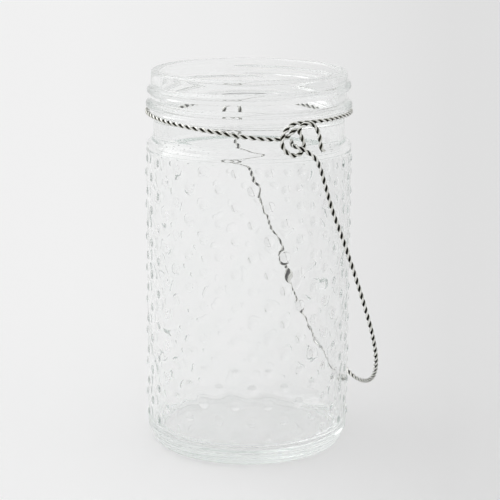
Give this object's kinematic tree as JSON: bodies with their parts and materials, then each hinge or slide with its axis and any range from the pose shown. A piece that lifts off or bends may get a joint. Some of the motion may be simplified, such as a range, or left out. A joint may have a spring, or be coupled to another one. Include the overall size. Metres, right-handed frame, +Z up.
{
  "type": "mason jar lantern",
  "caption": "Pressed glass jar lantern with a threaded mouth and hobnailed body, a twisted wire collar under the neck bead and a swinging wire bail.",
  "frame": {"origin": "centre of the jar's flat base, on the surface it stands on", "axes": "+Z up along the jar's axis; the collar's front eye is 23 degrees round from -Y towards +X and the bail hangs on the +X side at rest"},
  "size_m": [0.1095, 0.1052, 0.178],
  "materials": {
    "glass": "clear polished pressed glass",
    "collar_steel": "bright twisted steel wire",
    "bail_steel": "bright twisted steel wire"
  },
  "bodies": {
    "jar": {"glass_jar": "glass"},
    "collar": {"neck_wire": "collar_steel"},
    "bail": {"bail_wire": "bail_steel"}
  },
  "joints": [
    {"name": "collar_turn", "type": "hinge", "parent": "jar", "child": "collar", "pos_m": [0, 0, 0.1589], "axis": [0, 0, 1], "continuous": true},
    {"name": "bail_swing", "type": "hinge", "parent": "collar", "child": "bail", "pos_m": [0.0054, 0.00164, 0.1497], "axis": [0.2907, -0.9568, 0], "range_deg": [0, 300]}
  ]
}
